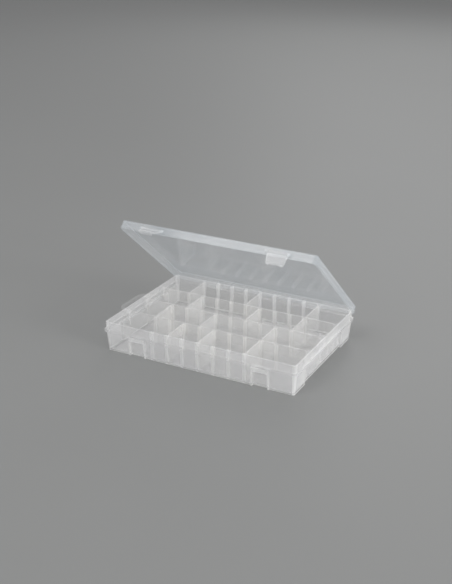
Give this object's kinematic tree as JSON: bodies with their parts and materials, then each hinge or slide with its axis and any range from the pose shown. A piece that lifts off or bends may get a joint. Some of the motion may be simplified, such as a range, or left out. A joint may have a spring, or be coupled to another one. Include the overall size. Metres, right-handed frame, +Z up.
{
  "type": "plastic compartment box",
  "caption": "Shallow translucent compartment box with a hinged clear lid, snap latches, a hanging loop and loose dividers that slide into ribbed slots.",
  "frame": {"origin": "middle of the tray's underside, on the table", "axes": "+X to the right along the box, +Y from the latches to the hinge, +Z up"},
  "size_m": [0.296, 0.1956, 0.1645],
  "materials": {
    "tray_plastic": "translucent milky polypropylene, satin",
    "lid_plastic": "clear polypropylene, glossy",
    "latch_plastic": "translucent white polypropylene, satin",
    "divider_plastic": "translucent milky polypropylene, satin"
  },
  "bodies": {
    "base": {"base_tray": "tray_plastic"},
    "lid": {"lid": "lid_plastic"},
    "latch_left": {"latch_left": "latch_plastic"},
    "latch_right": {"latch_right": "latch_plastic"},
    "long_divider_front": {"long_divider_front": "divider_plastic"},
    "long_divider_middle": {"long_divider_middle": "divider_plastic"},
    "long_divider_rear": {"long_divider_rear": "divider_plastic"},
    "cross_divider_row1_left": {"cross_divider_row1_left": "divider_plastic"},
    "cross_divider_row1_middle": {"cross_divider_row1_middle": "divider_plastic"},
    "cross_divider_row1_right": {"cross_divider_row1_right": "divider_plastic"},
    "cross_divider_row2_left": {"cross_divider_row2_left": "divider_plastic"},
    "cross_divider_row2_middle": {"cross_divider_row2_middle": "divider_plastic"},
    "cross_divider_row2_right": {"cross_divider_row2_right": "divider_plastic"},
    "cross_divider_row3_left": {"cross_divider_row3_left": "divider_plastic"},
    "cross_divider_row3_middle": {"cross_divider_row3_middle": "divider_plastic"},
    "cross_divider_row3_right": {"cross_divider_row3_right": "divider_plastic"},
    "cross_divider_row4_left": {"cross_divider_row4_left": "divider_plastic"},
    "cross_divider_row4_middle": {"cross_divider_row4_middle": "divider_plastic"},
    "cross_divider_row4_right": {"cross_divider_row4_right": "divider_plastic"}
  },
  "joints": [
    {"name": "lid_hinge", "type": "hinge", "parent": "base", "child": "lid", "pos_m": [0, 0.0974, 0.031], "axis": [-1, 0, 0], "range_deg": [-40.8, 134.2]},
    {"name": "latch_left_pivot", "type": "hinge", "parent": "lid", "child": "latch_left", "pos_m": [-0.088, -0.04663, 0.16074], "axis": [-1, 0, 0], "range_deg": [-60, 40]},
    {"name": "latch_right_pivot", "type": "hinge", "parent": "lid", "child": "latch_right", "pos_m": [0.088, -0.04663, 0.16074], "axis": [-1, 0, 0], "range_deg": [0, 100]},
    {"name": "long_divider_front_lift", "type": "slide", "parent": "base", "child": "long_divider_front", "axis": [0, 0, 1], "range_m": [0, 0.045]},
    {"name": "long_divider_middle_lift", "type": "slide", "parent": "base", "child": "long_divider_middle", "axis": [0, 0, 1], "range_m": [0, 0.045]},
    {"name": "long_divider_rear_lift", "type": "slide", "parent": "base", "child": "long_divider_rear", "axis": [0, 0, 1], "range_m": [0, 0.045]},
    {"name": "cross_divider_row1_left_lift", "type": "slide", "parent": "base", "child": "cross_divider_row1_left", "axis": [0, 0, 1], "range_m": [0, 0.045]},
    {"name": "cross_divider_row1_middle_lift", "type": "slide", "parent": "base", "child": "cross_divider_row1_middle", "axis": [0, 0, 1], "range_m": [0, 0.045]},
    {"name": "cross_divider_row1_right_lift", "type": "slide", "parent": "base", "child": "cross_divider_row1_right", "axis": [0, 0, 1], "range_m": [0, 0.045]},
    {"name": "cross_divider_row2_left_lift", "type": "slide", "parent": "base", "child": "cross_divider_row2_left", "axis": [0, 0, 1], "range_m": [0, 0.045]},
    {"name": "cross_divider_row2_middle_lift", "type": "slide", "parent": "base", "child": "cross_divider_row2_middle", "axis": [0, 0, 1], "range_m": [0, 0.045]},
    {"name": "cross_divider_row2_right_lift", "type": "slide", "parent": "base", "child": "cross_divider_row2_right", "axis": [0, 0, 1], "range_m": [0, 0.045]},
    {"name": "cross_divider_row3_left_lift", "type": "slide", "parent": "base", "child": "cross_divider_row3_left", "axis": [0, 0, 1], "range_m": [0, 0.045]},
    {"name": "cross_divider_row3_middle_lift", "type": "slide", "parent": "base", "child": "cross_divider_row3_middle", "axis": [0, 0, 1], "range_m": [0, 0.045]},
    {"name": "cross_divider_row3_right_lift", "type": "slide", "parent": "base", "child": "cross_divider_row3_right", "axis": [0, 0, 1], "range_m": [0, 0.045]},
    {"name": "cross_divider_row4_left_lift", "type": "slide", "parent": "base", "child": "cross_divider_row4_left", "axis": [0, 0, 1], "range_m": [0, 0.0135]},
    {"name": "cross_divider_row4_middle_lift", "type": "slide", "parent": "base", "child": "cross_divider_row4_middle", "axis": [0, 0, 1], "range_m": [0, 0.0135]},
    {"name": "cross_divider_row4_right_lift", "type": "slide", "parent": "base", "child": "cross_divider_row4_right", "axis": [0, 0, 1], "range_m": [0, 0.0135]}
  ]
}
